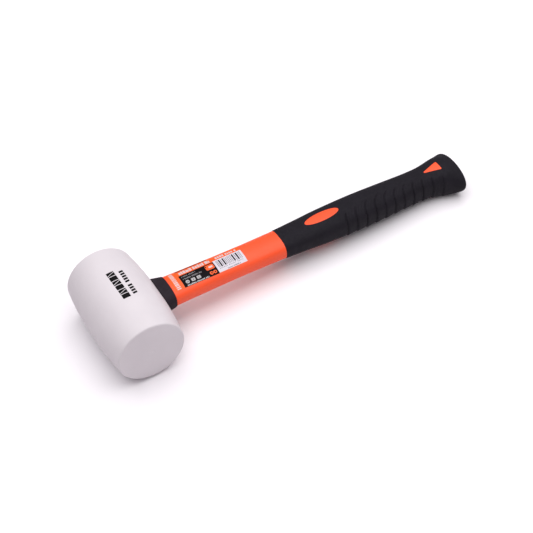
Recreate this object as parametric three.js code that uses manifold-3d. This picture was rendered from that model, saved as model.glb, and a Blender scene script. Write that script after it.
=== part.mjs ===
// Rubber mallet: a moulded white rubber barrel on a fibreglass-cored handle with an orange jacket,
// a black neck collar and a soft black grip. Millimetres, +Z up, lying on its side as it would on a
// bench: the barrel and the butt of the grip both touch z = 0.
//
// Every piece is first made in the handle's own frame: X runs along the handle from the middle of the
// head to the butt, Y runs along the head, Z is the face that carries the label.

import * as THREE from 'three';
import { mergeVertices } from 'three/addons/utils/BufferGeometryUtils.js';
import Module from 'manifold-3d';

const wasm = await Module();
wasm.setup();

// ---- driving dimensions -------------------------------------------------------------------------

const GAP = 0.3; // clearance kept between bonded neighbours

const HEAD_RADIUS = 30; // at the middle of the barrel
const HEAD_END_RADIUS = 27.1; // at the striking faces
const HEAD_HALF_LENGTH = 45;
const HEAD_STRAIGHT = 10; // the barrel's middle is straight this far each way
const HEAD_CROWN_POWER = 1.7; // how late it curves in past that
const HEAD_SIDES = 64;
const HEAD_EDGE_RADIUS = 1.4;

const HANDLE_OFFSET = 1.9; // the handle sits this far past the barrel's middle, along the head
const SECTION_POWER = 2.64; // squareness of the handle's oval sections
const BUTT_POWER = 2; // the sections turn into plain ellipses towards the butt
const BUTT_POWER_START = 280;

const CORE_RADIUS = 6;
const CORE_START = -10; // inside the head
const CORE_END = 288;

const EYE_DEPTH = -14; // bottom of the blind eye, past the barrel's middle
const EYE_HALF_WIDTH = 11.3;
const EYE_HALF_DEPTH = 7.6;
const ADHESIVE_END = 8; // the potting fills the eye from its bottom to here

const TANG_HALF_WIDTH = 10.9; // front end of the jacket, pressed into the eye
const TANG_HALF_DEPTH = 7.2;

const COLLAR_END = 38.6;
const GRIP_START = 135.5;
const GRIP_END = 300.1;
const BUTT_ROUNDING = 2.6;
const BUTT_DOME = 0.8; // bulge of the end face
const BUTT_HOOK = 1.64; // the butt flares this much further on the finger side
const BUTT_HOOK_START = 272.6;

const JACKET_TAIL_END = 292; // the jacket's end, buried in the grip
const JACKET_TAIL_HALF_WIDTH = 10.6;
const JACKET_TAIL_HALF_DEPTH = 7.3;

// Outer sections, each as [station, half width along the head, half depth].
const COLLAR_SECTIONS = [
  [20, 18.4, 12.0],
  [29, 16.1, 10.0],
  [COLLAR_END, 13.9, 8.6],
];
const JACKET_SECTIONS = [
  [COLLAR_END, 13.4, 8.2],
  [60, 12.75, 8.3],
  [95, 12.1, 8.4],
  [GRIP_START, 12.5, 8.7],
];
const GRIP_SECTIONS = [
  [GRIP_START, 12.7, 8.9],
  [155, 13.5, 9.8],
  [176, 14.4, 11.0],
  [206, 14.6, 11.8],
  [232, 13.8, 11.6],
  [259, 12.6, 11.5],
  [273, 12.9, 12.2],
  [288, 16.4, 14.4],
  [296, 20.0, 13.5],
  [GRIP_END, 20.3, 12.5],
];

// Windows in both wide faces of the grip, where raised pads of the jacket show through.
const OVAL_WINDOW = { middle: 174.9, across: 0.5, halfLength: 15.4, halfWidth: 4.8 };
const WEDGE_WINDOW = { tip: 268.9, base: 285.1, across: -0.45, halfWidth: 5.1, cornerRadius: 0.9 };
const PAD_RECESS = 0.15; // the pads stop this far below the grip's surface

// Grip ribs: overlapping scales that wrap the finger side, the one towards the near striking face.
const RIB_PITCH = 9.12;
const RIB_DEPTH = 0.8;
const RIB_FIRST = 190.6;
const RIB_LAST = 288;
const RIB_LEAN = 10; // how far a rib leans towards the butt where it runs on to the wide faces
const RIB_BEND = 2.4; // how late it starts to lean
const RIB_RISE = 0.25; // share of the pitch in which a scale's front wall rises

const LABEL = { start: 40.2, end: 103, low: -9.0, high: 10.2, thickness: 0.25 };

const RING_POINTS = 40;

// ---- solids ---------------------------------------------------------------------------------------

// A closed geometry with shared vertices, as a solid for joining and cutting.
function solid(geometry) {
  const bare = geometry.clone();
  bare.deleteAttribute('normal');
  bare.deleteAttribute('uv');
  const merged = mergeVertices(bare, 1e-4);
  const corners = Array.from(merged.index.array);
  const kept = [];
  for (let i = 0; i < corners.length; i += 3) {
    const [a, b, c] = corners.slice(i, i + 3);
    if (a !== b && b !== c && c !== a) kept.push(a, b, c);
  }
  const mesh = new wasm.Mesh({
    numProp: 3,
    vertProperties: new Float32Array(merged.attributes.position.array),
    triVerts: new Uint32Array(kept),
  });
  return new wasm.Manifold(mesh);
}

// A solid back as a geometry.
function geometryOf(body) {
  const mesh = body.getMesh();
  const geometry = new THREE.BufferGeometry();
  geometry.setAttribute('position', new THREE.BufferAttribute(mesh.vertProperties, 3));
  geometry.setIndex(new THREE.BufferAttribute(mesh.triVerts, 1));
  geometry.computeVertexNormals();
  return geometry;
}

// ---- section curves ---------------------------------------------------------------------------------

// Smooth step from 0 at one value to 1 at another.
function between(low, high, value) {
  const t = Math.min(Math.max((value - low) / (high - low), 0), 1);
  return t * t * (3 - 2 * t);
}

// Smooth curve through [station, value, value...] rows: cubic spans whose slopes follow the neighbours.
function through(rows, station, column) {
  const last = rows.length - 1;
  const slope = (i) => {
    const before = rows[Math.max(i - 1, 0)];
    const after = rows[Math.min(i + 1, last)];
    return (after[column] - before[column]) / (after[0] - before[0]);
  };
  let i = 0;
  while (i < last - 1 && station > rows[i + 1][0]) i += 1;
  const span = rows[i + 1][0] - rows[i][0];
  const t = (station - rows[i][0]) / span;
  const rise = rows[i + 1][column] - rows[i][column];
  const ease = t * t * (3 - 2 * t);
  const startBend = t * (1 - t) * (1 - t) * slope(i) * span;
  const endBend = t * t * (1 - t) * slope(i + 1) * span;
  return rows[i][column] + rise * ease + startBend - endBend;
}

// Squareness of the handle's outside at a station.
function sectionPower(station) {
  return SECTION_POWER + (BUTT_POWER - SECTION_POWER) * between(BUTT_POWER_START, GRIP_END, station);
}

// The grip shifts more and more towards the finger side as it comes to the butt.
function hooked(point) {
  point.y -= BUTT_HOOK * between(BUTT_HOOK_START, GRIP_END, point.x);
  return point;
}

// Point of a squared oval at an angle round the section.
function ovalPoint(station, halfWidth, halfDepth, angle, power) {
  const swell = (value) => Math.sign(value) * Math.abs(value) ** (2 / power);
  return new THREE.Vector3(
    station,
    HANDLE_OFFSET + halfWidth * swell(Math.cos(angle)),
    halfDepth * swell(Math.sin(angle)),
  );
}

function ovalRing(station, halfWidth, halfDepth, power = SECTION_POWER) {
  const ring = [];
  for (let i = 0; i < RING_POINTS; i += 1) {
    ring.push(ovalPoint(station, halfWidth, halfDepth, (2 * Math.PI * i) / RING_POINTS, power));
  }
  return ring;
}

// Closed skin over rings of equal point count, each end filled by a fan to its middle.
function loft(rings) {
  const count = rings[0].length;
  const points = rings.flat();
  const middle = (ring) => ring.reduce((sum, p) => sum.add(p), new THREE.Vector3()).divideScalar(count);
  points.push(middle(rings[0]), middle(rings[rings.length - 1]));
  const startMiddle = points.length - 2;
  const endMiddle = points.length - 1;
  const endRing = (rings.length - 1) * count;
  const faces = [];
  for (let j = 0; j < count; j += 1) {
    const next = (j + 1) % count;
    for (let i = 0; i < rings.length - 1; i += 1) {
      const a = i * count + j;
      const b = i * count + next;
      faces.push(a, b, b + count, a, b + count, a + count);
    }
    faces.push(startMiddle, next, j);
    faces.push(endMiddle, endRing + j, endRing + next);
  }
  const geometry = new THREE.BufferGeometry().setFromPoints(points);
  geometry.setIndex(faces);
  return geometry;
}

function stations(from, to, step) {
  const count = Math.max(1, Math.round((to - from) / step));
  return Array.from({ length: count + 1 }, (_, i) => from + ((to - from) * i) / count);
}

// Straight bar with one oval section.
function ovalBar(from, to, halfWidth, halfDepth) {
  return loft([ovalRing(from, halfWidth, halfDepth), ovalRing(to, halfWidth, halfDepth)]);
}

// Bar whose section follows the given rows, grown by an allowance.
function sectionBar(rows, from, to, step, allowance = 0) {
  const rings = stations(from, to, step).map((x) =>
    ovalRing(x, through(rows, x, 1) + allowance, through(rows, x, 2) + allowance, sectionPower(x)),
  );
  return loft(rings);
}

// ---- head ---------------------------------------------------------------------------------------------

function barrelRadius(along) {
  const past = Math.max(Math.abs(along) - HEAD_STRAIGHT, 0) / (HEAD_HALF_LENGTH - HEAD_STRAIGHT);
  return HEAD_RADIUS - (HEAD_RADIUS - HEAD_END_RADIUS) * past ** HEAD_CROWN_POWER;
}

// Half of the barrel's outline, from the end of its straight middle out to the striking face.
function barrelOutline(allowance) {
  const endSlope = (HEAD_RADIUS - HEAD_END_RADIUS) * HEAD_CROWN_POWER / (HEAD_HALF_LENGTH - HEAD_STRAIGHT);
  const lean = Math.atan(endSlope);
  const edgeMiddle = HEAD_HALF_LENGTH - HEAD_EDGE_RADIUS;
  const edgeStart = edgeMiddle + HEAD_EDGE_RADIUS * Math.sin(lean);
  const edgeCentre = barrelRadius(edgeStart) - HEAD_EDGE_RADIUS * Math.cos(lean);
  const barrel = stations(HEAD_STRAIGHT, edgeStart, 5).map((y) => [barrelRadius(y), y]);
  const edge = stations(lean, Math.PI / 2, 0.35)
    .slice(1)
    .map((a) => [edgeCentre + HEAD_EDGE_RADIUS * Math.cos(a), edgeMiddle + HEAD_EDGE_RADIUS * Math.sin(a)]);
  return [...barrel, ...edge].map(([r, y]) => new THREE.Vector2(r + allowance, y + allowance));
}

// One edge between its sides is the line that the lying barrel rests on.
function barrel(allowance = 0) {
  const half = barrelOutline(allowance);
  const mirrored = half.map((p) => new THREE.Vector2(p.x, -p.y)).reverse();
  const top = new THREE.Vector2(0, HEAD_HALF_LENGTH + allowance);
  const bottom = new THREE.Vector2(0, -HEAD_HALF_LENGTH - allowance);
  return new THREE.LatheGeometry([bottom, ...mirrored, ...half, top], HEAD_SIDES, -tilt);
}

function rubberHead() {
  const eye = ovalBar(EYE_DEPTH, HEAD_RADIUS + 5, EYE_HALF_WIDTH, EYE_HALF_DEPTH);
  return geometryOf(solid(barrel()).subtract(solid(eye)));
}

// ---- inside the handle ----------------------------------------------------------------------------

function rod(from, to, radius) {
  const geometry = new THREE.CylinderGeometry(radius, radius, to - from, 32);
  geometry.rotateZ(-Math.PI / 2);
  geometry.translate((from + to) / 2, HANDLE_OFFSET, 0);
  return geometry;
}

function fibreglassCore() {
  return rod(CORE_START, CORE_END, CORE_RADIUS);
}

function eyeAdhesive() {
  const filling = ovalBar(EYE_DEPTH + GAP, ADHESIVE_END, EYE_HALF_WIDTH - GAP, EYE_HALF_DEPTH - GAP);
  const rodSpace = rod(CORE_START - GAP, ADHESIVE_END + GAP, CORE_RADIUS + GAP);
  return geometryOf(solid(filling).subtract(solid(rodSpace)));
}

// ---- windows ----------------------------------------------------------------------------------------

function ovalOutline(allowance) {
  const shape = new THREE.Shape();
  const { middle, across, halfLength, halfWidth } = OVAL_WINDOW;
  const centre = HANDLE_OFFSET + across;
  shape.absellipse(middle, centre, halfLength + allowance, halfWidth + allowance, 0, 2 * Math.PI);
  return shape.getPoints(40).slice(0, -1);
}

// Triangle with round corners, its tip towards the head, hooked with the butt.
function wedgeOutline(allowance) {
  const { tip, base, across, halfWidth, cornerRadius } = WEDGE_WINDOW;
  const centre = HANDLE_OFFSET + across;
  const radius = cornerRadius + allowance;
  const flank = Math.atan2(halfWidth, base - tip);
  const corners = [
    [tip + cornerRadius / Math.sin(flank), 0, Math.PI / 2 + flank, (3 * Math.PI) / 2 - flank],
    [base - cornerRadius, -halfWidth + 1.6 * cornerRadius, (3 * Math.PI) / 2 - flank, 2 * Math.PI],
    [base - cornerRadius, halfWidth - 1.6 * cornerRadius, 0, Math.PI / 2 + flank],
  ];
  return corners.flatMap(([x, y, from, to]) =>
    stations(from, to, 0.4).map((a) =>
      hooked(new THREE.Vector2(x + radius * Math.cos(a), centre + y + radius * Math.sin(a))),
    ),
  );
}

// Upright prisms through both wide faces, one for each window.
function windowPrisms(allowance) {
  const reach = 20;
  return [ovalOutline(allowance), wedgeOutline(allowance)].map((outline) => {
    const settings = { depth: 2 * reach, bevelEnabled: false };
    const prism = new THREE.ExtrudeGeometry(new THREE.Shape(outline), settings);
    return solid(prism.translate(0, 0, -reach));
  });
}

// ---- jacket and collar ------------------------------------------------------------------------------

// Raised pads that fill the grip's windows flush with its surface.
function windowPads() {
  const from = OVAL_WINDOW.middle - OVAL_WINDOW.halfLength - 2;
  const inside = solid(sectionBar(GRIP_SECTIONS, from, WEDGE_WINDOW.base + 2, 6, -PAD_RECESS));
  const [oval, wedge] = windowPrisms(0);
  return inside.intersect(oval.add(wedge));
}

function handleJacket() {
  const tang = ovalBar(ADHESIVE_END + GAP, COLLAR_END + 1, TANG_HALF_WIDTH, TANG_HALF_DEPTH);
  const body = sectionBar(JACKET_SECTIONS, COLLAR_END, GRIP_START, 6);
  const tail = ovalBar(GRIP_START - 1, JACKET_TAIL_END, JACKET_TAIL_HALF_WIDTH, JACKET_TAIL_HALF_DEPTH);
  const rodSpace = rod(0, CORE_END + GAP, CORE_RADIUS + GAP);
  return geometryOf(
    solid(tang).add(solid(body)).add(solid(tail)).add(windowPads()).subtract(solid(rodSpace)),
  );
}

// Shoulder between the jacket and the head, its face shaped to the barrel.
function neckCollar() {
  const outside = sectionBar(COLLAR_SECTIONS, COLLAR_SECTIONS[0][0], COLLAR_END - GAP, 2);
  const tangSpace = ovalBar(0, COLLAR_END + 1, TANG_HALF_WIDTH + GAP, TANG_HALF_DEPTH + GAP);
  return geometryOf(solid(outside).subtract(solid(tangSpace)).subtract(solid(barrel(GAP))));
}

// ---- grip ---------------------------------------------------------------------------------------------

// How far a round edge of the given radius pulls the section in, this far from its end.
function edgeInset(distance, radius) {
  const left = Math.max(radius - distance, 0);
  return radius - Math.sqrt(radius * radius - left * left);
}

// Depth of the ribs below the mean surface: each scale has a steep front and falls away to the next.
function ribRelief(station, angle) {
  const sideways = -Math.cos(angle);
  const onSide = between(0.1, 0.3, sideways);
  const alongGrip = between(RIB_FIRST - 4, RIB_FIRST, station) * between(RIB_LAST, RIB_LAST - 8, station);
  const across = Math.max(sideways, 0) ** (2 / SECTION_POWER);
  const lean = RIB_LEAN * (1 - across) ** RIB_BEND;
  const turns = (station - lean - RIB_FIRST) / RIB_PITCH;
  const share = turns - Math.floor(turns);
  const below = share < RIB_RISE ? 1 - share / RIB_RISE : (share - RIB_RISE) / (1 - RIB_RISE);
  return RIB_DEPTH * onSide * alongGrip * (below - 0.5);
}

function gripRing(station) {
  const halfWidth = through(GRIP_SECTIONS, station, 1) - edgeInset(GRIP_END - station, BUTT_ROUNDING);
  const halfDepth = through(GRIP_SECTIONS, station, 2) - edgeInset(GRIP_END - station, BUTT_ROUNDING);
  const ring = [];
  for (let i = 0; i < RING_POINTS; i += 1) {
    const angle = (2 * Math.PI * i) / RING_POINTS;
    const relief = ribRelief(station, angle);
    const power = sectionPower(station);
    ring.push(hooked(ovalPoint(station, halfWidth - relief, halfDepth - relief, angle, power)));
  }
  return ring;
}

// Rings that close the butt with a shallow dome.
function buttRings() {
  const halfWidth = through(GRIP_SECTIONS, GRIP_END, 1) - BUTT_ROUNDING;
  const halfDepth = through(GRIP_SECTIONS, GRIP_END, 2) - BUTT_ROUNDING;
  return [0.8, 0.5].map((size) => {
    const station = GRIP_END + BUTT_DOME * (1 - size * size);
    return ovalRing(station, halfWidth * size, halfDepth * size, BUTT_POWER).map(hooked);
  });
}

function gripSleeve() {
  const sides = [
    ...stations(GRIP_START + GAP, RIB_FIRST - 8, 5),
    ...stations(RIB_FIRST - 6, RIB_LAST, RIB_PITCH / 5),
    ...stations(RIB_LAST + 2, GRIP_END - BUTT_ROUNDING, 2),
    ...stations(0.25, 1, 0.15).map((t) => GRIP_END - BUTT_ROUNDING * (1 - Math.sin((t * Math.PI) / 2))),
  ];
  const outside = solid(loft([...sides.map(gripRing), ...buttRings()]));
  const cavity = ovalBar(
    GRIP_START - 1,
    JACKET_TAIL_END + GAP,
    JACKET_TAIL_HALF_WIDTH + GAP,
    JACKET_TAIL_HALF_DEPTH + GAP,
  );
  const [oval, wedge] = windowPrisms(GAP);
  return geometryOf(outside.subtract(solid(cavity)).subtract(oval).subtract(wedge));
}

// ---- label ----------------------------------------------------------------------------------------

// Height of the jacket's wide face at a place across it.
function jacketFace(station, across, allowance) {
  const halfWidth = through(JACKET_SECTIONS, station, 1) + allowance;
  const halfDepth = through(JACKET_SECTIONS, station, 2) + allowance;
  return halfDepth * (1 - Math.abs(across / halfWidth) ** SECTION_POWER) ** (1 / SECTION_POWER);
}

// Thin sticker that follows the jacket's crowned face.
function handleLabel() {
  const across = stations(LABEL.low, LABEL.high, 1.6);
  const rings = stations(LABEL.start, LABEL.end, 6).map((x) => {
    const at = (y, allowance) => new THREE.Vector3(x, HANDLE_OFFSET + y, jacketFace(x, y, allowance));
    const under = across.map((y) => at(y, GAP));
    const over = across.map((y) => at(y, GAP + LABEL.thickness));
    return [...over.reverse(), ...under];
  });
  return loft(rings);
}

// ---- assembly -------------------------------------------------------------------------------------

function piece(name, geometry, color, roughness, metalness = 0) {
  const material = new THREE.MeshStandardMaterial({ color, roughness, metalness });
  const mesh = new THREE.Mesh(geometry, material);
  mesh.name = name;
  return mesh;
}

// Angle that lays the handle down until the grip touches the surface under the head.
function restTilt(gripGeometry) {
  const points = gripGeometry.attributes.position;
  let tilt = Infinity;
  for (let i = 0; i < points.count; i += 1) {
    const reach = Math.hypot(points.getX(i), points.getZ(i));
    if (points.getX(i) > GRIP_START && points.getZ(i) < 0) {
      const own = Math.asin(-points.getZ(i) / reach);
      tilt = Math.min(tilt, Math.asin(HEAD_RADIUS / reach) - own);
    }
  }
  return tilt;
}

const grip = gripSleeve();
const tilt = restTilt(grip);
const mallet = new THREE.Group();
mallet.add(
  piece('rubber_head', rubberHead(), '#ebe3e7', 0.6),
  piece('eye_adhesive', eyeAdhesive(), '#c9b98a', 0.35),
  piece('fibreglass_core', fibreglassCore(), '#d9cf9c', 0.4),
  piece('handle_jacket', handleJacket(), '#f4603a', 0.35),
  piece('neck_collar', neckCollar(), '#29262d', 0.6),
  piece('grip_sleeve', grip, '#29262d', 0.7),
  piece('handle_label', handleLabel(), '#f0f0f0', 0.3),
);
mallet.rotation.y = tilt;
mallet.updateMatrixWorld(true);

// Origin on the surface, under the middle of the lying mallet.
const box = new THREE.Box3().setFromObject(mallet, true);
const middle = box.getCenter(new THREE.Vector3());
mallet.position.set(-middle.x, -middle.y, -box.min.z);

const group = new THREE.Group();
group.add(mallet);

export default group;
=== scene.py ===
"""White rubber mallet on a fibreglass handle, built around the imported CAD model.

Shapes are computed in the handle's own frame, in millimetres: X runs along the handle from the middle
of the head to the butt, Y runs along the head, and Z points out of the face that carries the label.
"""

import math

import bmesh
import bpy
import numpy as np
from mathutils import Matrix, Vector
from mathutils.geometry import delaunay_2d_cdt


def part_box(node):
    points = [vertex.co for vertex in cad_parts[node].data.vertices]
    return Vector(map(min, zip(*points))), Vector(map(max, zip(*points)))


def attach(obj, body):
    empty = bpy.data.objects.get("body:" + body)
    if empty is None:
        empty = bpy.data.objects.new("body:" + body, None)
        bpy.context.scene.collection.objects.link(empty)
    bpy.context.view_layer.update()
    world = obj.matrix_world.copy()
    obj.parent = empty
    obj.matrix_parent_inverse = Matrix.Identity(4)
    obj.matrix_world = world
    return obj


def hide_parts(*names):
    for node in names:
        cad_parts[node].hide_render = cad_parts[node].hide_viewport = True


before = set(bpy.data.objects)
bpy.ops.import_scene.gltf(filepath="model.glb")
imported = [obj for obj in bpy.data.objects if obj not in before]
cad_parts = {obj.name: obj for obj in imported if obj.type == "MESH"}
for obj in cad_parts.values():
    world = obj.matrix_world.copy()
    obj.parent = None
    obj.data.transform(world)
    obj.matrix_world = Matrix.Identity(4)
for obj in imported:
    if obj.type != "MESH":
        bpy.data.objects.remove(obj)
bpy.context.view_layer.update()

MM = 0.001

# ---- dimensions, as in the CAD source --------------------------------------------------------------

HEAD_RADIUS = 30.0
HEAD_END_RADIUS = 27.1
HEAD_HALF_LENGTH = 45.0
HEAD_STRAIGHT = 10.0
HEAD_CROWN_POWER = 1.7
HEAD_EDGE_RADIUS = 1.4

HANDLE_OFFSET = 1.9
SECTION_POWER = 2.64
BUTT_POWER = 2.0
BUTT_POWER_START = 280.0

CORE_START = -10.0
CORE_END = 288.0
CORE_RADIUS = 6.0

TANG_START = 8.3
TANG_HALF_WIDTH = 10.9
TANG_HALF_DEPTH = 7.2

COLLAR_END = 38.6
GRIP_START = 135.5
GRIP_END = 300.1
BUTT_ROUNDING = 2.6
BUTT_DOME = 0.8
BUTT_HOOK = 1.64
BUTT_HOOK_START = 272.6
TAIL_END = 292.0
TAIL_HALF_WIDTH = 10.6
TAIL_HALF_DEPTH = 7.3

COLLAR_SECTIONS = ((20, 18.4, 12.0), (29, 16.1, 10.0), (COLLAR_END, 13.9, 8.6))
JACKET_SECTIONS = ((COLLAR_END, 13.4, 8.2), (60, 12.75, 8.3), (95, 12.1, 8.4), (GRIP_START, 12.5, 8.7))
GRIP_SECTIONS = (
    (GRIP_START, 12.7, 8.9), (155, 13.5, 9.8), (176, 14.4, 11.0), (206, 14.6, 11.8), (232, 13.8, 11.6),
    (259, 12.6, 11.5), (273, 12.9, 12.2), (288, 16.4, 14.4), (296, 20.0, 13.5), (GRIP_END, 20.3, 12.5),
)
OVAL_MIDDLE = 174.9
OVAL_ACROSS = 0.5
OVAL_HALF_LENGTH = 15.4
OVAL_HALF_WIDTH = 4.8
WEDGE_TIP = 268.9
WEDGE_BASE = 285.1
WEDGE_ACROSS = -0.45
WEDGE_HALF_WIDTH = 5.1
WEDGE_ROUNDING = 0.9

LABEL_START = 40.2
LABEL_END = 103.0
LABEL_LOW = -9.0
LABEL_HIGH = 10.2

# ---- numbers and sections ----------------------------------------------------------------------------


def steps(start, end, step):
    """Evenly spaced numbers from start to end, no further apart than step."""
    return np.linspace(start, end, max(int(math.ceil(abs(end - start) / step)), 1) + 1)


def smooth(low, high, x):
    """0 below low, 1 above high, and a smooth rise between; low may be the larger."""
    t = np.clip((np.asarray(x, float) - low) / (high - low), 0, 1)
    return t * t * (3 - 2 * t)


def through(rows, station, column):
    """A smooth curve through the rows' values in that column."""
    table = np.array(rows, float)
    x, value = table[:, 0], table[:, column]
    last = len(x) - 1
    before = np.clip(np.arange(last + 1) - 1, 0, last)
    after = np.clip(np.arange(last + 1) + 1, 0, last)
    slope = (value[after] - value[before]) / (x[after] - x[before])
    station = np.asarray(station, float)
    i = np.clip(np.searchsorted(x, station, side="right") - 1, 0, last - 1)
    span = x[i + 1] - x[i]
    t = (station - x[i]) / span
    rise = value[i + 1] - value[i]
    bend = t * (1 - t) ** 2 * slope[i] - t * t * (1 - t) * slope[i + 1]
    return value[i] + rise * t * t * (3 - 2 * t) + bend * span


def edge_inset(distance, radius):
    """How far a rounded edge has dropped at that distance from its rim."""
    missing = np.clip(radius - np.asarray(distance, float), 0, radius)
    return radius - np.sqrt(np.maximum(radius * radius - missing * missing, 0))


def section_power(station):
    """Squareness of the handle's outside; towards the butt it turns into a plain ellipse."""
    return SECTION_POWER + (BUTT_POWER - SECTION_POWER) * smooth(BUTT_POWER_START, GRIP_END, station)


def oval(half_width, half_depth, direction, power=SECTION_POWER):
    """Point of a squarish oval in that direction from its middle, as (y, z)."""
    cos, sin = np.cos(direction), np.sin(direction)
    reach = np.abs(cos / half_width) ** power + np.abs(sin / half_depth) ** power
    reach = reach ** (-1 / power)
    return reach * cos, reach * sin


def barrel_radius(along):
    past = np.clip(np.abs(along) - HEAD_STRAIGHT, 0, None) / (HEAD_HALF_LENGTH - HEAD_STRAIGHT)
    return HEAD_RADIUS - (HEAD_RADIUS - HEAD_END_RADIUS) * past ** HEAD_CROWN_POWER


# ---- placing --------------------------------------------------------------------------------------------


def placement():
    """Handle frame to row frame: the tilt comes from the straight core, the place from the head."""
    low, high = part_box("fibreglass_core")
    span = (high - low) / MM
    length, width = CORE_END - CORE_START, 2 * CORE_RADIUS
    tilt = math.atan2(length * span.z - width * span.x, length * span.x - width * span.z)
    low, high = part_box("rubber_head")
    return Matrix.Translation((low + high) / 2) @ Matrix.Rotation(tilt, 4, "Y")


PLACE = placement()


def piece(name, points, faces, materials, chosen=None, node=None, slot=None, sharp=35):
    """A mesh from points in the handle frame, in millimetres, riding on the part's one body."""
    mesh = bpy.data.meshes.new(name)
    mesh.from_pydata((np.asarray(points, float) * MM).tolist(), [], [tuple(int(i) for i in f) for f in faces])
    for material in materials:
        mesh.materials.append(material)
    if chosen is not None:
        mesh.polygons.foreach_set("material_index", np.asarray(chosen, np.int32))
    mesh.validate()
    solid = bmesh.new()
    solid.from_mesh(mesh)
    bmesh.ops.recalc_face_normals(solid, faces=solid.faces)
    open_edges = sum(not e.is_manifold for e in solid.edges)
    solid.to_mesh(mesh)
    solid.free()
    mesh.transform(PLACE)
    print("piece", name, len(mesh.vertices), "points", len(mesh.polygons), "faces", open_edges, "open edges")
    obj = bpy.data.objects.new(name, mesh)
    bpy.context.scene.collection.objects.link(obj)
    bpy.context.view_layer.objects.active = obj
    obj.select_set(True)
    mesh.shade_smooth()
    mesh.set_sharp_from_angle(angle=math.radians(sharp))
    obj.select_set(False)
    if node:
        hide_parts(node)
    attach(obj, "root")
    return obj


def grid_faces(rows, columns, closed_rows=False):
    """Quads between rows of points, where each row is a closed ring."""
    faces = []
    for r in range(rows if closed_rows else rows - 1):
        near, far = r * columns, (r + 1) % rows * columns
        for c in range(columns):
            d = (c + 1) % columns
            faces.append((near + c, near + d, far + d, far + c))
    return faces


# ---- materials -------------------------------------------------------------------------------------------


class Nodes:
    """A material's node tree, with short ways to add to it."""

    def __init__(self, name):
        self.material = bpy.data.materials.new(name)
        self.material.use_nodes = True
        self.tree = self.material.node_tree
        self.shader = self.tree.nodes["Principled BSDF"]
        self.place = self.add("ShaderNodeTexCoord").outputs["Object"]

    def add(self, kind, **values):
        node = self.tree.nodes.new(kind)
        for key, value in values.items():
            setattr(node, key, value)
        return node

    def link(self, source, target):
        self.tree.links.new(source, target)

    def noise(self, scale, detail=3.0, roughness=0.5, stretch=(1, 1, 1)):
        """Noise with about scale lumps to a metre."""
        mapping = self.add("ShaderNodeMapping")
        mapping.inputs["Scale"].default_value = stretch
        self.link(self.place, mapping.inputs["Vector"])
        node = self.add("ShaderNodeTexNoise")
        node.inputs["Scale"].default_value = scale
        node.inputs["Detail"].default_value = detail
        node.inputs["Roughness"].default_value = roughness
        self.link(mapping.outputs["Vector"], node.inputs["Vector"])
        return node.outputs["Fac"]

    def ramp(self, value, *stops):
        """Colour ramp with (position, colour) stops; a colour may be one number, for grey."""
        node = self.add("ShaderNodeValToRGB")
        elements = node.color_ramp.elements
        while len(elements) < len(stops):
            elements.new(0.5)
        for element, (position, colour) in zip(elements, stops):
            element.position = position
            element.color = (*colour, 1) if isinstance(colour, tuple) else (colour, colour, colour, 1)
        self.link(value, node.inputs["Fac"])
        return node.outputs["Color"]

    def mix(self, share, first, second):
        """Mixes two colour outputs; share is an output, 0 for only the first."""
        node = self.add("ShaderNodeMix", data_type="RGBA")
        self.link(share, node.inputs[0])
        self.link(first, node.inputs[6])
        self.link(second, node.inputs[7])
        return node.outputs[2]

    def bump(self, *layers):
        """Bump from (height output, depth in millimetres) layers, one on the other."""
        normal = None
        for height, depth in layers:
            node = self.add("ShaderNodeBump")
            node.inputs["Strength"].default_value = 1.0
            node.inputs["Distance"].default_value = depth * MM
            self.link(height, node.inputs["Height"])
            if normal is not None:
                self.link(normal, node.inputs["Normal"])
            normal = node.outputs["Normal"]
        self.link(normal, self.shader.inputs["Normal"])

    def finish(self, colour, roughness, specular=0.5):
        self.link(colour, self.shader.inputs["Base Color"])
        self.link(roughness, self.shader.inputs["Roughness"])
        self.shader.inputs["Specular IOR Level"].default_value = specular
        return self.material


def white_rubber():
    n = Nodes("white_rubber")
    cloud = n.noise(38, 4, 0.6)
    colour = n.ramp(cloud, (0.3, (0.585, 0.540, 0.570)), (0.7, (0.615, 0.570, 0.600)))
    specks = n.noise(900, 2, 0.5)
    colour = n.mix(n.ramp(specks, (0.70, 0.0), (0.76, 0.22)), colour, n.ramp(cloud, (0, (0.47, 0.43, 0.45))))
    grain = n.noise(2600, 4, 0.6)
    roughness = n.ramp(n.noise(120, 3, 0.5), (0.3, 0.52), (0.7, 0.62))
    n.bump((grain, 0.05), (n.noise(170, 2, 0.5), 0.06))
    return n.finish(colour, roughness, 0.35)


def orange_plastic():
    n = Nodes("orange_plastic")
    streaks = n.noise(60, 4, 0.55, (0.35, 1, 1))
    colour = n.ramp(streaks, (0.25, (0.82, 0.078, 0.024)), (0.75, (0.88, 0.096, 0.031)))
    roughness = n.ramp(n.noise(240, 3, 0.5), (0.3, 0.33), (0.7, 0.43))
    n.bump((n.noise(1800, 3, 0.5), 0.02), (n.noise(150, 2, 0.5, (0.5, 1, 1)), 0.05))
    return n.finish(colour, roughness, 0.22)


def black_rubber(name, base):
    n = Nodes(name)
    cloud = n.noise(90, 4, 0.6)
    dark = tuple(c * 0.85 for c in base)
    light = tuple(c * 1.18 for c in base)
    colour = n.ramp(cloud, (0.3, dark), (0.7, light))
    roughness = n.ramp(n.noise(400, 3, 0.6), (0.3, 0.66), (0.7, 0.8))
    n.bump((n.noise(2200, 4, 0.65), 0.06), (n.noise(330, 3, 0.5), 0.05))
    return n.finish(colour, roughness, 0.18)


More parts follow.
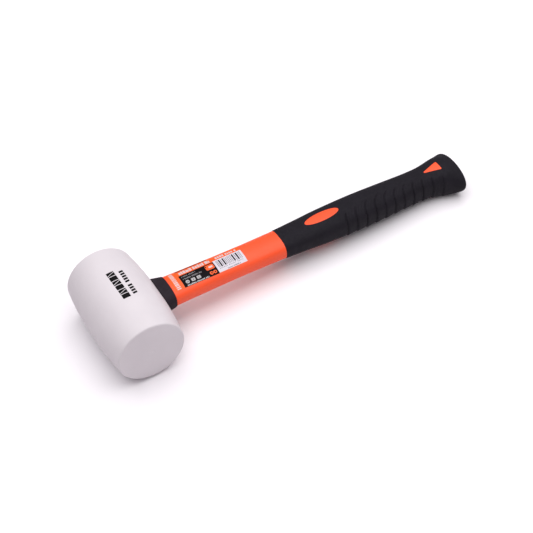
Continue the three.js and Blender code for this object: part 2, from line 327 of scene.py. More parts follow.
def printed(name, colour, shade=0.9, rough=(0.3, 0.42), specular=0.4):
    """Ink or film of one colour, with the slight unevenness of printing."""
    n = Nodes(name)
    uneven = n.noise(700, 3, 0.6)
    dark = tuple(c * shade for c in colour)
    tint = n.ramp(uneven, (0.35, dark), (0.65, colour))
    roughness = n.ramp(n.noise(260, 3, 0.5), (0.3, rough[0]), (0.7, rough[1]))
    n.bump((n.noise(900, 2, 0.5), 0.012))
    return n.finish(tint, roughness, specular)


def amber_epoxy():
    n = Nodes("amber_epoxy")
    colour = n.ramp(n.noise(90, 4, 0.6), (0.3, (0.42, 0.30, 0.13)), (0.7, (0.55, 0.42, 0.20)))
    roughness = n.ramp(n.noise(200, 3, 0.5), (0.3, 0.18), (0.7, 0.3))
    n.bump((n.noise(300, 3, 0.5), 0.1))
    return n.finish(colour, roughness)


def fibreglass():
    """Resin with long glass strands along the rod."""
    n = Nodes("fibreglass")
    strands = n.noise(2400, 4, 0.65, (0.02, 1, 1))
    colour = n.ramp(strands, (0.3, (0.50, 0.44, 0.27)), (0.7, (0.72, 0.66, 0.46)))
    roughness = n.ramp(strands, (0.3, 0.3), (0.7, 0.5))
    n.bump((strands, 0.08))
    return n.finish(colour, roughness)


RUBBER = white_rubber()
ORANGE = orange_plastic()
BLACK = black_rubber("grip_rubber", (0.0075, 0.0060, 0.0100))
COLLAR = black_rubber("collar_rubber", (0.0145, 0.0098, 0.0145))

# ---- head ------------------------------------------------------------------------------------------------

HEAD_SIDES = 192
FACE_RADII = (24.5, 22, 18, 13, 8, 4, 2.4)  # rings on a striking face
GATE_DEPTH = 0.12  # the moulding mark in the middle of a striking face
GATE_RINGS = ((2.1, 0.1), (1.0, GATE_DEPTH))  # radius and depth of its rings


def head():
    lean = math.atan((HEAD_RADIUS - HEAD_END_RADIUS) * HEAD_CROWN_POWER / (HEAD_HALF_LENGTH - HEAD_STRAIGHT))
    edge_middle = HEAD_HALF_LENGTH - HEAD_EDGE_RADIUS
    edge_start = edge_middle + HEAD_EDGE_RADIUS * math.sin(lean)
    edge_centre = barrel_radius(edge_start) - HEAD_EDGE_RADIUS * math.cos(lean)
    half = [(float(barrel_radius(y)), y) for y in steps(0, edge_start, 1.5)]
    half += [
        (edge_centre + HEAD_EDGE_RADIUS * math.cos(a), edge_middle + HEAD_EDGE_RADIUS * math.sin(a))
        for a in steps(lean, math.pi / 2, 0.18)[1:]
    ]
    half += [(r, HEAD_HALF_LENGTH) for r in FACE_RADII]
    half += [(r, HEAD_HALF_LENGTH - depth) for r, depth in GATE_RINGS]
    profile = [(r, -y) for r, y in half[:0:-1]] + half
    rings = len(profile)
    radius = np.array([p[0] for p in profile])[:, None]
    along = np.array([p[1] for p in profile])[:, None]
    turn = np.linspace(0, 2 * math.pi, HEAD_SIDES, endpoint=False)[None, :]
    points = np.stack([radius * np.cos(turn), along + 0 * turn, radius * np.sin(turn)], -1).reshape(-1, 3)
    faces = grid_faces(rings, HEAD_SIDES)
    near, far = len(points), len(points) + 1
    gate = HEAD_HALF_LENGTH - GATE_DEPTH
    points = np.vstack([points, [(0, -gate, 0), (0, gate, 0)]])
    last = (rings - 1) * HEAD_SIDES
    for c in range(HEAD_SIDES):
        d = (c + 1) % HEAD_SIDES
        faces.append((near, c, d))
        faces.append((far, last + d, last + c))
    return piece("head_barrel", points, faces, [RUBBER], node="rubber_head", slot="white_rubber")


head()

# ---- surfaces of the handle -----------------------------------------------------------------------------

RIB_PITCH = 9.12
RIB_DEPTH = 0.85
RIB_FIRST = 190.6
RIB_LAST = 288.0
RIB_LEAN = 10.0
RIB_BEND = 2.4
RIB_CREST = 1.3  # where a scale is highest, past its front edge
GROOVE_DEPTH = 0.5
GROOVE_WIDTH = 0.38
FINE_GROOVE = 0.55  # depth of the finer lines, as a share of the grooves' depth
# How far the ribs reach on to the wide faces: a station and a place across the handle.
RIB_REACH = (
    (190, -6.5), (204, -4.2), (217, -2.2), (226, -0.5),
    (240, -2.2), (254, -3.2), (265, -4.6), (283, -11),
)


def rib_height(station, across, sideways):
    """Height of the finger ribs, which are only on the side that faces the near striking face."""
    reach = np.interp(station, *np.array(RIB_REACH).T)
    on_side = smooth(reach + 0.6, reach - 1.6, across)
    along = smooth(RIB_FIRST - 2, RIB_FIRST, station) * smooth(RIB_LAST, RIB_LAST - 8, station)
    lean = RIB_LEAN * (1 - sideways) ** RIB_BEND
    place = np.mod(station - lean - RIB_FIRST, RIB_PITCH)
    scale = smooth(0.2, RIB_CREST, place) * (1 - place / RIB_PITCH)
    groove = np.exp(-(np.minimum(place, RIB_PITCH - place) / GROOVE_WIDTH) ** 2)
    # Two finer lines between neighbouring ribs, only near the ribs' upper ends.
    between = np.abs(np.abs(place - RIB_PITCH / 2) - RIB_PITCH / 6)
    upper = smooth(reach - 9, reach - 4, across)
    groove += FINE_GROOVE * upper * np.exp(-(between / GROOVE_WIDTH) ** 2)
    return on_side * along * (RIB_DEPTH * (scale - 0.4) - GROOVE_DEPTH * groove)


def jacket_surface(station, direction, inset=0.0):
    width = through(JACKET_SECTIONS, station, 1) - inset
    depth = through(JACKET_SECTIONS, station, 2) - inset
    y, z = oval(width, depth, direction)
    return np.stack([station + 0 * y, HANDLE_OFFSET + y, z], -1)


def hooked(points):
    """The grip's sections shift towards the near striking face as they come to the butt."""
    moved = points.copy()
    moved[..., 1] -= BUTT_HOOK * smooth(BUTT_HOOK_START, GRIP_END, points[..., 0])
    return moved


def grip_surface(station, direction, inset=0.0):
    station = np.asarray(station, float)
    power = section_power(station)
    rounding = edge_inset(GRIP_END - station, BUTT_ROUNDING)
    width = through(GRIP_SECTIONS, station, 1) - rounding
    depth = through(GRIP_SECTIONS, station, 2) - rounding
    y, z = oval(width, depth, direction, power)
    relief = rib_height(station, y, np.clip(-y / width, 0, 1)) - inset
    y, z = oval(width + relief, depth + relief, direction, power)
    return hooked(np.stack([station + 0 * y, HANDLE_OFFSET + y, z], -1))


def tail_surface(station, direction):
    y, z = oval(TAIL_HALF_WIDTH + 0 * station, TAIL_HALF_DEPTH, direction)
    return np.stack([station + 0 * y, HANDLE_OFFSET + y, z], -1)


# ---- outlines cut into the surfaces ----------------------------------------------------------------------


def oval_outline(allowance):
    turn = np.linspace(0, 2 * math.pi, 88, endpoint=False)
    x = OVAL_MIDDLE + (OVAL_HALF_LENGTH + allowance) * np.cos(turn)
    y = OVAL_ACROSS + (OVAL_HALF_WIDTH + allowance) * np.sin(turn)
    return np.stack([x, y], -1)


def wedge_outline(allowance):
    radius = WEDGE_ROUNDING + allowance
    flank = math.atan2(WEDGE_HALF_WIDTH, WEDGE_BASE - WEDGE_TIP)
    side = WEDGE_HALF_WIDTH - 1.6 * WEDGE_ROUNDING
    corners = (
        (WEDGE_TIP + WEDGE_ROUNDING / math.sin(flank), 0, math.pi / 2 + flank, 1.5 * math.pi - flank),
        (WEDGE_BASE - WEDGE_ROUNDING, -side, 1.5 * math.pi - flank, 2 * math.pi),
        (WEDGE_BASE - WEDGE_ROUNDING, side, 0, math.pi / 2 + flank),
    )
    points = []
    for x, y, start, end in corners:
        points += [(x + radius * math.cos(a), y + radius * math.sin(a)) for a in steps(start, end, 0.3)]
    dense = []
    for here, there in zip(points, points[1:] + points[:1]):
        count = max(int(math.dist(here, there) / 0.8), 1)
        dense += [tuple(np.array(here) + (np.array(there) - here) * k / count) for k in range(count)]
    return np.array(dense) + (0, WEDGE_ACROSS)


def inside_outline(points, outline):
    """Which points lie inside a closed outline, by counting crossings."""
    inside = np.zeros(len(points), bool)
    for (ax, ay), (bx, by) in zip(outline, np.roll(outline, -1, 0)):
        spans = (ay > points[:, 1]) != (by > points[:, 1])
        if spans.any():
            cross = ax + (points[:, 1] - ay) * (bx - ax) / (by - ay if by != ay else 1e-12)
            inside ^= spans & (points[:, 0] < cross)
    return inside


def distance_to_outline(points, outline):
    best = np.full(len(points), np.inf)
    for a, b in zip(outline, np.roll(outline, -1, 0)):
        along = b - a
        share = np.clip(((points - a) @ along) / max(along @ along, 1e-12), 0, 1)
        best = np.minimum(best, np.linalg.norm(points - a - share[:, None] * along, axis=1))
    return best


def triangulate(points, loops):
    """Delaunay triangles over the points that keep every loop's edges, as (points, origins, triangles)."""
    edges = [(loop[i], loop[(i + 1) % len(loop)]) for loop in loops for i in range(len(loop))]
    made = delaunay_2d_cdt([Vector(p) for p in points], edges, [], 0, 1e-5)
    origins = [o[0] if o else -1 for o in made[3]]
    return np.array([tuple(v) for v in made[0]]), origins, [tuple(f) for f in made[2]]


def face_direction(x, y, face):
    """Direction of the grip's surface point above (x, y), on the +Z or -Z face, before it is hooked."""
    width = through(GRIP_SECTIONS, x, 1)
    depth = through(GRIP_SECTIONS, x, 2)
    power = section_power(x)
    z = depth * (1 - np.abs(y / width) ** power) ** (1 / power)
    return np.arctan2(face * z, y)


# ---- skin shared by the grip and the jacket inside it ----------------------------------------------------

SKIN_SIDES = 144
SKIN_SCALE = 13.0  # millimetres round the handle to a radian
WINDOW_RINGS = (0.0, 0.07, 0.18, 0.35)  # distances from a window's rim, on both sides of it
WINDOW_CLEAR = 0.65  # grid points closer than this to a rim are left out
WINDOW_MARGIN = 1.2  # how far the reworked patch reaches past its window
FAR_FROM_RIM = 9.0  # rim distance given to the plain grid


class Skin:
    """Grid over the grip, with the windows' outlines worked into it.

    Each vertex is a station along the handle and a direction round it. rim is its distance outside a
    window's outline, negative inside, where it is near one.
    """

    def __init__(self, stations):
        self.stations = stations
        self.turns = np.linspace(0, 2 * math.pi, SKIN_SIDES, endpoint=False) - math.pi / 2
        rows, columns = len(stations), SKIN_SIDES
        self.station = np.repeat(stations, columns)
        self.turn = np.tile(self.turns, rows)
        self.rim = np.full(rows * columns, FAR_FROM_RIM)
        self.loops = []
        self.outside = []
        self.inside = []
        taken = np.zeros((rows - 1, columns), bool)
        for outline in (oval_outline, wedge_outline):
            for face in (1, -1):
                self.window(outline, face, taken)
        quads = np.array(grid_faces(rows, columns)).reshape(rows - 1, columns, 4)
        self.outside = quads[~taken].tolist() + self.outside

    def window(self, outline, face, taken):
        station, across = outline(0.0).T
        turn = face_direction(station, across, face)
        middle = math.pi / 2 * face
        low = np.searchsorted(self.stations, station.min() - WINDOW_MARGIN) - 1
        high = np.searchsorted(self.stations, station.max() + WINDOW_MARGIN)
        step = 2 * math.pi / SKIN_SIDES
        half = int(math.ceil((np.abs(turn - middle).max() + WINDOW_MARGIN / SKIN_SCALE) / step))
        centre = int(round((middle + math.pi / 2) / step))
        columns = [(centre + k) % SKIN_SIDES for k in range(-half, half + 1)]
        for c in columns[:-1]:
            taken[low:high, c] = True
        flat, globe, border = [], [], []
        polygon = np.stack([station, turn * SKIN_SCALE], -1)
        count = high - low + 1
        for r in range(low, high + 1):
            for k, c in enumerate(columns):
                flat.append((self.stations[r], (middle + (k - half) * step) * SKIN_SCALE))
                globe.append(r * SKIN_SIDES + c)
                border.append(r in (low, high) or k in (0, 2 * half))
        flat, globe, border = np.array(flat), np.array(globe), np.array(border)
        far = distance_to_outline(flat, polygon) > WINDOW_CLEAR
        order = np.full(len(flat), -1)
        keep = np.flatnonzero(border | far)
        order[keep] = np.arange(len(keep))
        wide = 2 * half + 1
        around = list(range(wide)) + [r * wide + wide - 1 for r in range(1, count)]
        around += [(count - 1) * wide + k for k in range(wide - 2, -1, -1)]
        around += [r * wide for r in range(count - 2, 0, -1)]
        loops = [[int(order[i]) for i in around]]
        points, ids = [tuple(p) for p in flat[keep]], [int(g) for g in globe[keep]]
        for offset in sorted({s * w for w in WINDOW_RINGS for s in (1, -1)}):
            station, across = outline(offset).T
            turn = face_direction(station, across, face)
            turn = np.where(turn - middle > math.pi, turn - 2 * math.pi, turn)
            first = len(self.station)
            self.station = np.append(self.station, station)
            self.turn = np.append(self.turn, turn)
            self.rim = np.append(self.rim, np.full(len(station), offset))
            loops.append(list(range(len(points), len(points) + len(station))))
            points += list(zip(station, turn * SKIN_SCALE))
            ids += range(first, first + len(station))
            if offset == 0:
                self.loops.append(list(range(first, first + len(station))))
        made, origins, triangles = triangulate(points, loops)
        if min(origins) < 0:
            raise ValueError("two outlines cross")
        middles = made[np.array(triangles)].mean(1)
        within = inside_outline(middles, polygon)
        for triangle, hidden in zip(triangles, within):
            a, b, c = made[list(triangle)]
            if (b[0] - a[0]) * (c[1] - a[1]) - (b[1] - a[1]) * (c[0] - a[0]) > 0:
                triangle = triangle[::-1]
            named = [ids[origins[v]] for v in triangle]
            (self.inside if hidden else self.outside).append(named)


def tidy_mesh(points, faces):
    """Drops the points that no face uses."""
    used = sorted({i for f in faces for i in f})
    order = {old: new for new, old in enumerate(used)}
    return np.asarray(points)[used], [[order[i] for i in f] for f in faces]


def pairs(ring):
    """Neighbours round a closed ring."""
    return zip(ring, ring[1:] + ring[:1])


def ring_at(first):
    """Vertex numbers of one ring round the skin, from the first one."""
    return list(range(first, first + SKIN_SIDES))


def band(near, far):
    """Quads between two closed rings."""
    return [[a, b, d, c] for (a, b), (c, d) in zip(pairs(near), pairs(far))]


def fan(ring, tip):
    """Triangles from a closed ring to one point."""
    return [[a, b, tip] for a, b in pairs(ring)]


def close_end(points, faces, near, total, rings, tip):
    """Joins the ring that starts at near to further rings, and the last of those to a tip."""
    for made in rings:
        points.append(made)
        faces += band(ring_at(total), ring_at(near))
        near = total
        total += SKIN_SIDES
    points.append(tip)
    faces += fan(ring_at(near)[::-1], total)


LIP_RADIUS = 0.3
PAD_EDGE = 0.16
PAD_RECESS = 0.12
SEAM_RADIUS = 0.25
JACKET_EDGE = 0.4  # rounded edge of the jacket at the collar
DOME_SIZES = (0.93, 0.82, 0.68, 0.52, 0.36, 0.2, 0.08)

end_stations = GRIP_END - BUTT_ROUNDING * (1 - np.sin(steps(0, 1, 0.07) * math.pi / 2))
skin_stations = np.concatenate([
    GRIP_START + np.array([0, 0.05, 0.13, 0.25, 0.6]),
    steps(136.7, RIB_FIRST - 3, 0.7)[:-1],
    steps(RIB_FIRST - 3, RIB_LAST, 0.42)[:-1],
    steps(RIB_LAST, TAIL_END, 0.6),
    steps(TAIL_END + 0.5, GRIP_END - BUTT_ROUNDING, 0.6)[:-1],
    end_stations,
])
skin = Skin(skin_stations)
tail_rows = int(np.flatnonzero(skin_stations == TAIL_END)[0]) + 1


def in_tail(face):
    return all(skin.station[i] <= TAIL_END + 1e-6 for i in face)


def dome_ring(size):
    """Ring on the domed end face, at that share of its full width."""
    width = (through(GRIP_SECTIONS, GRIP_END, 1) - BUTT_ROUNDING) * size
    depth = (through(GRIP_SECTIONS, GRIP_END, 2) - BUTT_ROUNDING) * size
    y, z = oval(width, depth, skin.turns, BUTT_POWER)
    x = GRIP_END + BUTT_DOME * (1 - size * size) + 0 * y
    return hooked(np.stack([x, HANDLE_OFFSET + y, z], -1))


def grip():
    count = len(skin.station)
    lip = np.where(skin.rim >= 0, edge_inset(np.abs(skin.rim), LIP_RADIUS), 0)
    seam = edge_inset(skin.station - GRIP_START, SEAM_RADIUS)
    outer = grip_surface(skin.station, skin.turn, lip + seam)
    bore = tail_surface(skin.station, skin.turn)
    faces = [list(f) for f in skin.outside]
    faces += [[i + count for i in f[::-1]] for f in skin.outside if in_tail(f)]
    for loop in skin.loops:
        faces += band(loop, [i + count for i in loop])
    faces += band(ring_at(0), ring_at(count))
    points = [outer, bore, [[TAIL_END, HANDLE_OFFSET, 0]]]
    bottom = 2 * count
    faces += fan(ring_at((tail_rows - 1) * SKIN_SIDES + count), bottom)
    rim = (len(skin_stations) - 1) * SKIN_SIDES
    rings = [dome_ring(size) for size in DOME_SIZES]
    tip = hooked(np.array([[GRIP_END + BUTT_DOME, HANDLE_OFFSET, 0.0]]))
    close_end(points, faces, rim, bottom + 1, rings, tip)
    made, named = tidy_mesh(np.vstack(points), faces)
    return piece("grip", made, named, [BLACK], node="grip_sleeve", slot="grip_rubber", sharp=50)


def jacket():
    count = len(skin.station)
    base = tail_surface(skin.station, skin.turn)
    edge = np.where(skin.rim <= 0, edge_inset(np.abs(skin.rim), PAD_EDGE), 0)
    top = grip_surface(skin.station, skin.turn, PAD_RECESS + edge)
    faces = [f[::-1] for f in skin.outside if in_tail(f)]
    faces += [[i + count for i in f[::-1]] for f in skin.inside]
    for loop in skin.loops:
        faces += band([i + count for i in loop], loop)
    points = [base, top, [[TAIL_END, HANDLE_OFFSET, 0]]]
    end = 2 * count
    faces += fan(ring_at((tail_rows - 1) * SKIN_SIDES)[::-1], end)
    # From the tail forwards: the shoulder under the grip, the body, the tang in the head.
    rings = [
        jacket_surface(np.full(SKIN_SIDES, x), skin.turns)
        for x in steps(GRIP_START, COLLAR_END + JACKET_EDGE, 1.2)
    ]
    rings += [
        jacket_surface(np.full(SKIN_SIDES, COLLAR_END + d), skin.turns, float(edge_inset(d, JACKET_EDGE)))
        for d in (0.22, 0.1, 0.03, 0.0)
    ]
    for x in (COLLAR_END, TANG_START + 0.8, TANG_START):
        inset = 0.5 if x == TANG_START else 0
        y, z = oval(TANG_HALF_WIDTH - inset, TANG_HALF_DEPTH - inset, skin.turns)
        rings.append(np.stack([x + 0 * y, HANDLE_OFFSET + y, z], -1))
    close_end(points, faces, 0, end + 1, rings, [[TANG_START, HANDLE_OFFSET, 0]])
    made, named = tidy_mesh(np.vstack(points), faces)
    return piece("jacket", made, named, [ORANGE], node="handle_jacket", slot="orange_plastic", sharp=50)


grip()
jacket()

# ---- collar ----------------------------------------------------------------------------------------------

COLLAR_SINK = 0.25  # how far the collar's foot goes into the head
COLLAR_EDGE = 0.55
FOOT_GUESS = 26.0  # station from which the search for the foot starts
FOOT_ROUNDS = 40


def collar_surface(station, direction, inset=0.0):
    width = through(COLLAR_SECTIONS, station, 1) - inset
    depth = through(COLLAR_SECTIONS, station, 2) - inset
    y, z = oval(width, depth, direction)
    return np.stack([station + 0 * y, HANDLE_OFFSET + y, z], -1)


def collar():
    turns = skin.turns
    foot = np.full(SKIN_SIDES, FOOT_GUESS)
    for _ in range(FOOT_ROUNDS):
        p = collar_surface(foot, turns)
        radius = barrel_radius(p[:, 1]) - COLLAR_SINK
        foot = 0.5 * foot + 0.5 * np.sqrt(np.maximum(radius ** 2 - p[:, 2] ** 2, 0))
    rings = []
    for share in steps(0, 1, 0.045):
        station = foot + (COLLAR_END - COLLAR_EDGE - foot) * share
        rings.append(collar_surface(station, turns))
    for turn in steps(0, math.pi / 2, 0.25)[1:]:
        station = np.full(SKIN_SIDES, COLLAR_END - COLLAR_EDGE * (1 - math.sin(turn)))
        rings.append(collar_surface(station, turns, COLLAR_EDGE * (1 - math.cos(turn))))
    y, z = oval(TANG_HALF_WIDTH, TANG_HALF_DEPTH, turns)
    y = y + HANDLE_OFFSET
    seat = np.sqrt((barrel_radius(y) - COLLAR_SINK) ** 2 - z ** 2)
    for share in (0, 0.5, 1):
        rings.append(np.stack([COLLAR_END + (seat - COLLAR_END) * share, y, z], -1))
    # The foot follows the barrel back out to the first ring.
    for share in (0.33, 0.66):
        q = np.stack([seat, y, z], -1) * (1 - share) + rings[0] * share
        q[:, 0] = np.sqrt((barrel_radius(q[:, 1]) - COLLAR_SINK) ** 2 - q[:, 2] ** 2)
        rings.append(q)
    faces = [f[::-1] for f in grid_faces(len(rings), SKIN_SIDES, closed_rows=True)]
    return piece("collar", np.vstack(rings), faces, [COLLAR], node="neck_collar", slot="collar_rubber")


collar()

# ---- printed films -----------------------------------------------------------------------------------------


def dense_outline(corners, step=0.8):
    """A closed outline with points no further apart than step."""
    corners = np.asarray(corners, float)
    made = []
    for a, b in zip(corners, np.roll(corners, -1, 0)):
        count = max(int(math.ceil(np.linalg.norm(b - a) / step)), 1)
        made += [a + (b - a) * k / count for k in range(count)]
    return np.array(made)


def box_outline(x0, x1, y0, y1, lean=0.0, rounding=0.0):
    """A box, leaning by lean over its height, with rounded corners where rounding is given."""
    if rounding:
        centres = ((x1 - rounding, y1 - rounding, 0), (x0 + rounding, y1 - rounding, 1),
                   (x0 + rounding, y0 + rounding, 2), (x1 - rounding, y0 + rounding, 3))
        return np.array([
            (x + rounding * math.cos(a + q * math.pi / 2), y + rounding * math.sin(a + q * math.pi / 2))
            for x, y, q in centres for a in steps(0, math.pi / 2, 0.4)
        ])
    return np.array([(x0, y0), (x1, y0), (x1 + lean, y1), (x0 + lean, y1)])


def disc_outline(x, y, radius, count=20):
    turn = np.linspace(0, 2 * math.pi, count, endpoint=False)
    return np.stack([x + radius * np.cos(turn), y + radius * np.sin(turn)], -1)


SLIVER = 0.002  # twice the area below which a triangle along the rim is dropped


def film(outline, shapes, spacing):
    """Triangles inside the outline, each with the material number of the last shape that covers it."""
    loops, points = [], []
    for corners in [outline] + [corners for _, corners in shapes]:
        dense = dense_outline(corners)
        loops.append(list(range(len(points), len(points) + len(dense))))
        points += [tuple(p) for p in dense]
    low, high = outline.min(0), outline.max(0)
    gx, gy = np.meshgrid(steps(low[0], high[0], spacing[0])[1:-1], steps(low[1], high[1], spacing[1])[1:-1])
    grid = np.stack([gx.ravel(), gy.ravel()], -1)
    grid = grid[inside_outline(grid, outline) & (distance_to_outline(grid, outline) > 0.2)]
    made, origins, triangles = triangulate(points + [tuple(p) for p in grid], loops)
    corners = made[np.array(triangles)]
    middles = corners.mean(1)
    # Slivers between points that lie in line along the rim aren't part of the film.
    on_rim = (np.array(origins)[np.array(triangles)] < len(loops[0])).all(1)
    (ax, ay), (bx, by) = (corners[:, 1] - corners[:, 0]).T, (corners[:, 2] - corners[:, 0]).T
    keep = inside_outline(middles, outline) & ~(on_rim & (np.abs(ax * by - ay * bx) < SLIVER))
    chosen = np.zeros(len(triangles), int)
    for number, corners in shapes:
        chosen[inside_outline(middles, np.asarray(corners, float))] = number
    return made, [t for t, k in zip(triangles, keep) if k], chosen[keep]


def thicken(flat, triangles, chosen, place, above, below):
    """A closed film from flat triangles; place(x, y, height) gives a point in the handle frame."""
    top = place(flat[:, 0], flat[:, 1], above)
    bottom = place(flat[:, 0], flat[:, 1], -below)
    count = len(flat)
    directed = {(t[i], t[(i + 1) % 3]): c for t, c in zip(triangles, chosen) for i in range(3)}
    faces = [list(t) for t in triangles] + [[i + count for i in t[::-1]] for t in triangles]
    numbers = list(chosen) * 2
    for (a, b), number in directed.items():
        if (b, a) not in directed:
            faces.append([b, a, a + count, b + count])
            numbers.append(number)
    return np.vstack([top, bottom]), faces, numbers


def join_films(films):
    """Several films as one mesh, as (points, faces)."""
    points, faces, total = [], [], 0
    for made, named, _ in films:
        points.append(made)
        faces += [[i + total for i in f] for f in named]
        total += len(made)
    return tidy_mesh(np.vstack(points), faces)


def on_jacket(x, y, height):
    """Point on the jacket's label face; y is measured from the middle of the handle."""
    width = through(JACKET_SECTIONS, x, 1)
    depth = through(JACKET_SECTIONS, x, 2)
    z = depth * (1 - np.abs(y / width) ** SECTION_POWER) ** (1 / SECTION_POWER)
    across = np.abs(y / width) ** (SECTION_POWER - 1) * np.sign(y) / width
    up = (z / depth) ** (SECTION_POWER - 1) / depth
    length = np.hypot(across, up)
    return np.stack([x, HANDLE_OFFSET + y + height * across / length, z + height * up / length], -1)


def on_barrel(y, turned, height):
    """Point on the barrel; y is along the head, turned is the arc length from the +Z line towards +X."""
    radius = barrel_radius(y) + height
    angle = math.pi / 2 - turned / HEAD_RADIUS
    return np.stack([radius * np.cos(angle), y, radius * np.sin(angle)], -1)


def word_blocks(rng, start, end, low, high, width, gap, word=4):
    """Plain blocks in groups along X, where the real label has lines of print."""
    shapes, x, count = [], start, 0
    while x < end - 0.4 * width:
        w = min(width * rng.uniform(0.65, 1.2), end - x)
        top = high if rng.random() < 0.6 else low + (high - low) * 0.8
        shapes.append(box_outline(x, x + w, low, top))
        count += 1
        x += w + gap * (3 if count % word == 0 else 1)
    return shapes


def label():
    rng = np.random.default_rng(7)
    orange, black, white, grey, pale, icon = 1, 2, 3, 4, 5, 6
    shapes = [(orange, box_outline(LABEL_START - 1, LABEL_END + 1, LABEL_LOW - 1, LABEL_HIGH + 1))]
    shapes.append((black, box_outline(48.4, 78.3, LABEL_LOW + 0.2, 3.1)))
    shapes.append((white, box_outline(78.3, LABEL_END - 0.2, LABEL_LOW + 0.5, 3.7)))
    shapes.append((black, box_outline(48.5, 76, 8.5, 9.7)))
    # Left strip: a column of pale blocks.
    y = -8.3
    while y < 8.4:
        height = rng.uniform(0.5, 1.1)
        shapes.append((pale, box_outline(42.1, 45.3, y, y + height, lean=0.3)))
        y += height + rng.choice((0.35, 0.35, 0.6))
    # Orange strip: bold blocks, then smaller ones.
    shapes += [(pale, s) for s in word_blocks(rng, 50.0, 76.5, 4.0, 7.3, 2.1, 0.4, 5)]
    shapes += [(pale, s) for s in word_blocks(rng, 81.8, 100.6, 4.7, 7.1, 1.4, 0.5, 4)]
    # Black panel: two fine lines, a disc and two squares, a lower line.
    shapes += [(grey, s) for s in word_blocks(rng, 51.6, 62.0, 0.6, 1.9, 0.9, 0.3, 4)]
    shapes += [(grey, s) for s in word_blocks(rng, 51.6, 66.6, -2.1, -0.7, 0.9, 0.3, 5)]
    for y0 in (0.6, -2.0):
        shapes.append((grey, box_outline(50.1, 50.7, y0, y0 + 1.2, lean=0.25)))
    shapes.append((icon, disc_outline(52.5, -4.9, 1.6)))
    shapes.append((black, box_outline(51.4, 53.2, -5.4, -4.9, lean=0.5)))
    for x in (55.75, 60.5):
        shapes.append((icon, box_outline(x, x + 3.25, -6.3, -3.5, rounding=0.35)))
        shapes.append((black, box_outline(x + 1.45, x + 1.85, -5.7, -4.3)))
    shapes += [(icon, s) for s in word_blocks(rng, 51.0, 69.5, -8.5, -7.4, 1.0, 0.25, 6)]
    # Orange marks at the right of the black panel.
    shapes.append((orange, box_outline(70.2, 77.5, -3.0, 2.2, rounding=1.2)))
    shapes.append((black, disc_outline(70.9, 0.9, 0.6)))
    shapes.append((pale, box_outline(72.9, 76.3, -1.3, 0.5, rounding=0.4)))
    for x in (72.6, 75.6):
        shapes.append((orange, disc_outline(x, -6.2, 1.45)))
        shapes.append((black, disc_outline(x + 0.2, -6.2, 0.6)))
    # White panel: upright bars, thin ones between four thick ones, and two fine lines.
    x, thick = 80.3, [82.4, 85.0, 93.3, 97.2]
    while x < 101.4:
        wide = bool(thick) and x >= thick[0] - 0.5
        width = 1.15 if wide else 0.32
        thick = thick[1:] if wide else thick
        shapes.append((black, box_outline(x, x + width, -4.5, 2.7)))
        x += width + rng.choice((0.75, 0.95))
    shapes += [(grey, s) for s in word_blocks(rng, 80.4, 100.8, -5.9, -5.2, 0.6, 0.5, 6)]
    shapes += [(grey, s) for s in word_blocks(rng, 86.0, 97.5, -8.1, -7.3, 0.8, 0.25, 5)]
    outline = box_outline(LABEL_START, LABEL_END, LABEL_LOW, LABEL_HIGH, rounding=0.6)
    flat, triangles, chosen = film(outline, shapes, (2.5, 0.8))
    points, faces, numbers = thicken(flat, triangles, chosen, on_jacket, 0.10, 0.05)
    made = tidy_mesh(points, faces)
    materials = [
        printed("label_film", (0.66, 0.62, 0.66)),
        printed("label_orange", (0.80, 0.105, 0.018), specular=0.2),
        printed("label_black", (0.004, 0.003, 0.004), 0.8, (0.45, 0.55), 0.06),
        printed("label_white", (0.60, 0.56, 0.62), 0.95, specular=0.2),
        printed("label_grey", (0.17, 0.16, 0.17), specular=0.2),
        printed("label_pale", (0.62, 0.50, 0.50), specular=0.2),
        printed("label_icon", (0.40, 0.38, 0.39), specular=0.2),
    ]
    return piece("label", *made, materials, numbers, node="handle_label", slot="label_film", sharp=60)


label()


PRINT_SLOPE = 0.13  # each block of the lower row sits this far below the last


def head_print():
    """Two rows of plain blocks, where the real head has its maker's print."""
    shapes = []
    # Upper row: slanting bars in two groups.
    for start, count in ((-11.5, 4), (1.5, 5)):
        for k in range(count):
            x = start + k * 2.78
            shapes.append(box_outline(x, x + 1.9, 4.4, 8.1, lean=0.8))
    # Lower row: six bold blocks, every other one cut by a slanting slit.
    for k in range(6):
        x = -12.5 + k * 5.02
        drop = PRINT_SLOPE * k
        width, low, high = 4.4, -4.25 - drop, 1.85 - drop
        if k % 2:
            slit, lean = 0.5, 1.2
            left = x + (width - slit) / 2
            right, end = left + slit, x + width
            shapes.append(np.array([(x, low), (left - lean, low), (left + lean, high), (x, high)]))
            shapes.append(np.array([(right - lean, low), (end, low), (end, high), (right + lean, high)]))
        else:
            shapes.append(box_outline(x, x + width, low, high, rounding=0.9 if k == 2 else 0.2))
    films = []
    for corners in shapes:
        flat, triangles, chosen = film(corners, [], (1.0, 1.0))
        films.append(thicken(flat, triangles, chosen, on_barrel, 0.05, 0.05))
    points, faces = join_films(films)
    ink = printed("black_ink", (0.004, 0.003, 0.004), 0.75, (0.5, 0.6), 0.08)
    return piece("head_print", points, faces, [ink], sharp=60)


head_print()

# ---- CAD nodes inside the tool ---------------------------------------------------------------------------

for node, material in (("eye_adhesive", amber_epoxy()), ("fibreglass_core", fibreglass())):
    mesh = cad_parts[node].data
    mesh.materials.clear()
    mesh.materials.append(material)

# ---- studio ----------------------------------------------------------------------------------------------

FLOOR_HALF = 4.0
FLOOR_COLOUR = (0.85, 0.82, 0.85)
WORLD_COLOUR = (1.0, 0.96, 1.0)
WORLD_LIGHT = 0.29
CEILING_HEIGHT = 1.7
CEILING_SIZE = 2.6
CEILING_POWER = 56.0
CEILING_SHIFT = (0.2, 0.0)


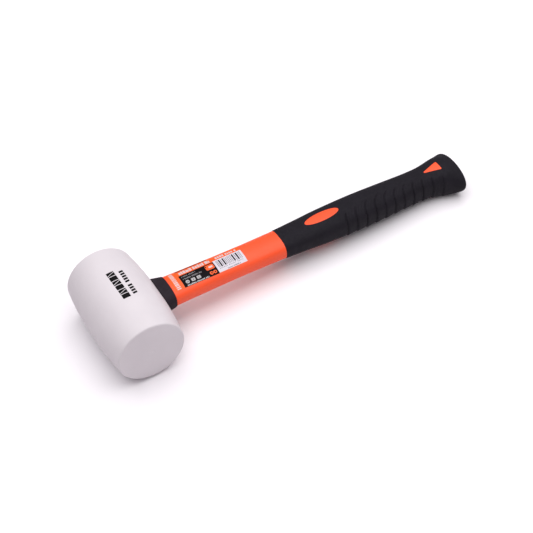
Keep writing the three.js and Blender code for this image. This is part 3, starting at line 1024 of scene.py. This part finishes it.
def floor():
    mesh = bpy.data.meshes.new("floor")
    corners = [(x * FLOOR_HALF, y * FLOOR_HALF, 0) for x, y in ((-1, -1), (1, -1), (1, 1), (-1, 1))]
    mesh.from_pydata(corners, [], [(0, 1, 2, 3)])
    n = Nodes("pale_floor")
    darker = tuple(c * 0.99 for c in FLOOR_COLOUR)
    colour = n.ramp(n.noise(3, 2, 0.5), (0.3, darker), (0.7, FLOOR_COLOUR))
    n.link(colour, n.shader.inputs["Base Color"])
    n.shader.inputs["Roughness"].default_value = 0.9
    n.shader.inputs["Specular IOR Level"].default_value = 0.1
    mesh.materials.append(n.material)
    obj = bpy.data.objects.new("floor", mesh)
    bpy.context.scene.collection.objects.link(obj)


def studio():
    world = bpy.data.worlds.new("studio")
    world.use_nodes = True
    background = world.node_tree.nodes["Background"]
    background.inputs["Color"].default_value = (*WORLD_COLOUR, 1)
    background.inputs["Strength"].default_value = WORLD_LIGHT
    bpy.context.scene.world = world
    light = bpy.data.lights.new("ceiling", "AREA")
    light.shape = "SQUARE"
    light.size = CEILING_SIZE
    light.energy = CEILING_POWER
    obj = bpy.data.objects.new("ceiling", light)
    obj.location = (*CEILING_SHIFT, CEILING_HEIGHT)
    bpy.context.scene.collection.objects.link(obj)
    bpy.context.scene.view_settings.view_transform = "Standard"


# ---- camera ----------------------------------------------------------------------------------------------

CAMERA_AIM = (105.69, -31.38, 21.66)  # handle frame, in millimetres
CAMERA_AZIMUTH = -28.65
CAMERA_ELEVATION = 46.89
CAMERA_ROLL = -1.69
CAMERA_DISTANCE = 1137.0
CAMERA_LENS = 101.72
SENSOR = 36.0


def camera():
    turn, rise, roll = (math.radians(a) for a in (CAMERA_AZIMUTH, CAMERA_ELEVATION, CAMERA_ROLL))
    back = Vector((math.sin(turn) * math.cos(rise), -math.cos(turn) * math.cos(rise), math.sin(rise)))
    right = Vector((math.cos(turn), math.sin(turn), 0))
    up = back.cross(right)
    across = math.cos(roll) * right + math.sin(roll) * up
    above = -math.sin(roll) * right + math.cos(roll) * up
    data = bpy.data.cameras.new("camera")
    data.sensor_width = SENSOR
    data.lens = CAMERA_LENS
    data.clip_start = 0.05
    data.clip_end = 50
    obj = bpy.data.objects.new("camera", data)
    axes = Matrix((across, above, back)).transposed().to_4x4()
    position = (Vector(CAMERA_AIM) + CAMERA_DISTANCE * back) * MM
    obj.matrix_world = PLACE @ Matrix.Translation(position) @ axes
    bpy.context.scene.collection.objects.link(obj)
    bpy.context.scene.camera = obj


floor()
studio()
camera()
